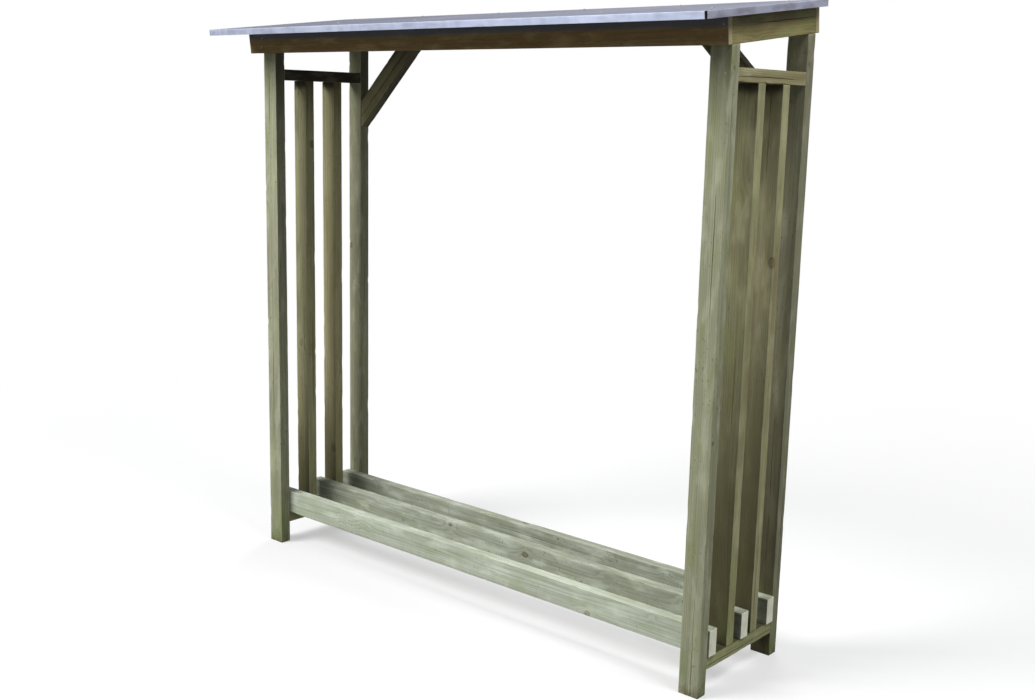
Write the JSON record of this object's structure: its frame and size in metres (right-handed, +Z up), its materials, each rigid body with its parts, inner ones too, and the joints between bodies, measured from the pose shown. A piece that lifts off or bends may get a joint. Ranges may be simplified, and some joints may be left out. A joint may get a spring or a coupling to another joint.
{
  "type": "log store",
  "caption": "Open-fronted timber log store with slatted ends, floor bearers, corner braces at the back and a low sloping metal roof.",
  "frame": {"origin": "on the ground, under the middle of the store's box, which the roof sets", "axes": "+X to the right along the store's length, +Y from the open front to the back, +Z up"},
  "size_m": [2.028, 0.6358, 1.9528],
  "materials": {
    "post_timber": "rough-sawn pressure-treated softwood, weathered sage green",
    "rail_timber": "rough-sawn pressure-treated softwood, olive brown in the shade",
    "bearer_timber": "rough-sawn pressure-treated softwood, pale grey green with cream cut ends",
    "roof_timber": "rough-sawn pressure-treated softwood, olive brown",
    "deck_board": "plain sheathing board, matte",
    "roof_metal": "coated steel sheet, pale blue grey, satin",
    "fixings": "galvanised nails and screws, dull"
  },
  "bodies": {
    "root": {"front_left_post": "post_timber", "front_right_post": "post_timber", "back_left_post": "post_timber", "back_right_post": "post_timber", "left_bottom_rail": "rail_timber", "left_top_rail": "rail_timber", "right_bottom_rail": "rail_timber", "right_top_rail": "rail_timber", "left_front_slat": "rail_timber", "left_back_slat": "rail_timber", "right_front_slat": "rail_timber", "right_back_slat": "rail_timber", "left_brace": "rail_timber", "right_brace": "rail_timber", "front_bearer": "bearer_timber", "middle_bearer": "bearer_timber", "back_bearer": "bearer_timber", "left_rafter": "roof_timber", "right_rafter": "roof_timber", "front_fascia": "roof_timber", "back_fascia": "roof_timber", "roof_deck": "deck_board", "roof_sheet": "roof_metal"}
  },
  "joints": []
}
